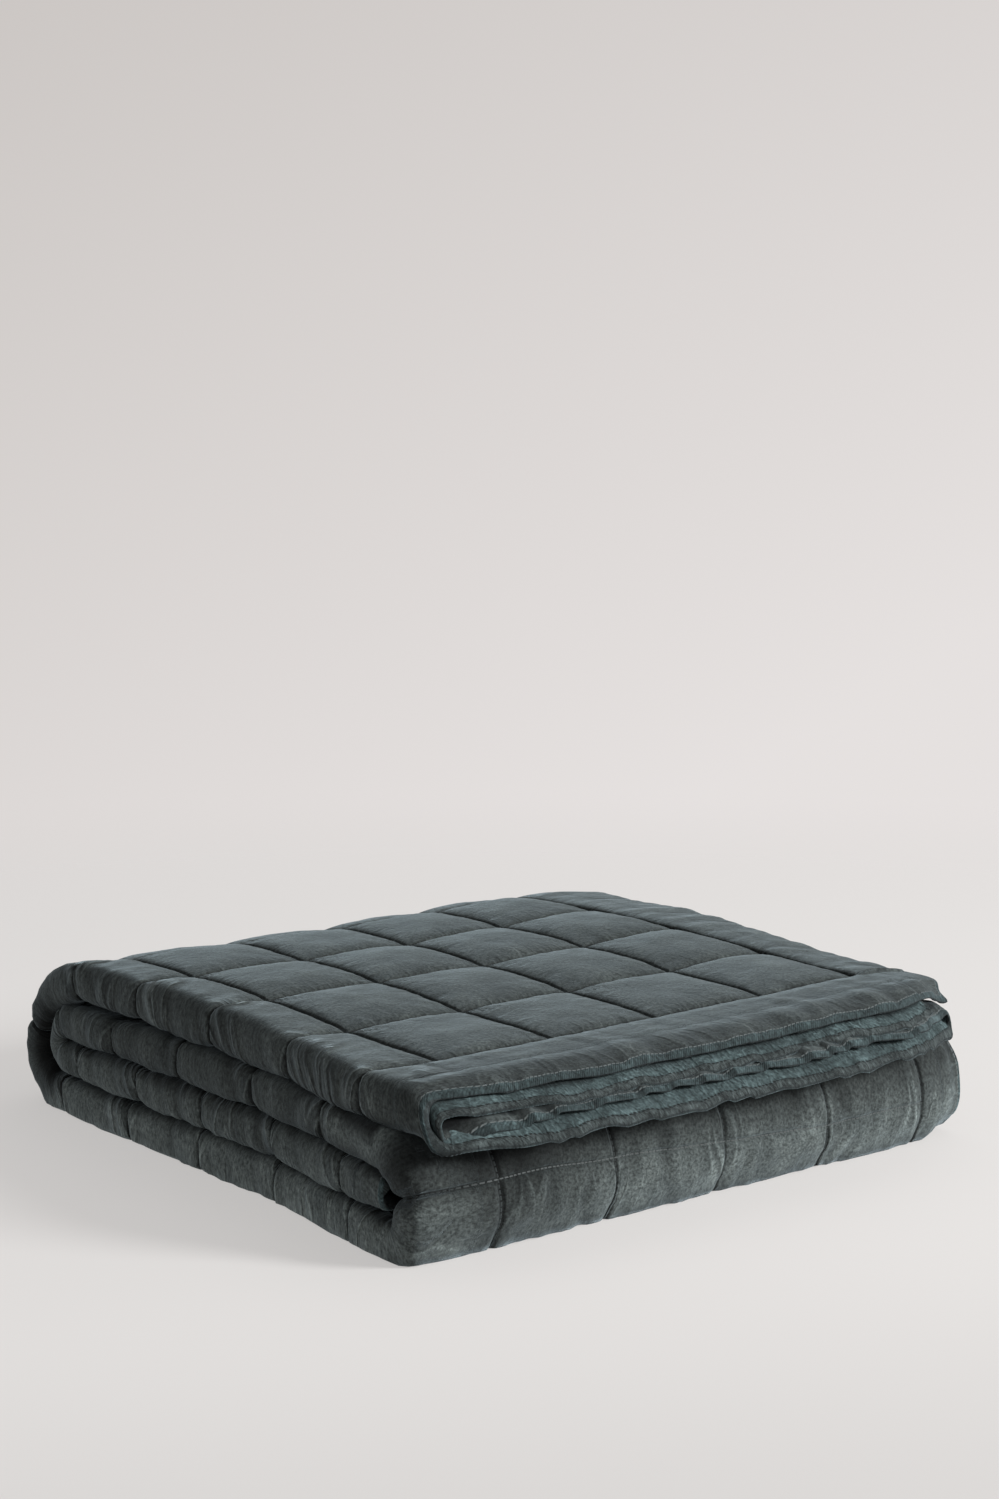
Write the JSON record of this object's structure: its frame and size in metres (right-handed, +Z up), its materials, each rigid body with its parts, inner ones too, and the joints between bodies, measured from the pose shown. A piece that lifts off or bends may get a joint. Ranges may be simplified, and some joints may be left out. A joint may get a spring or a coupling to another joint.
{
  "type": "quilted bed cover",
  "caption": "Quilted velvet bed cover folded into a soft square block, with its hemmed end lying in layers on the front.",
  "frame": {"origin": "centre of the block's bounding box, at the surface it rests on", "axes": "+Z up, -Y towards the hemmed end that shows, +X towards the side with the free side hems"},
  "size_m": [0.6348, 0.6658, 0.1516],
  "materials": {
    "velvet": "washed cotton velvet, soft sheen, quilted in squares"
  },
  "bodies": {
    "root": {"quilted_cover": "velvet"}
  },
  "joints": []
}
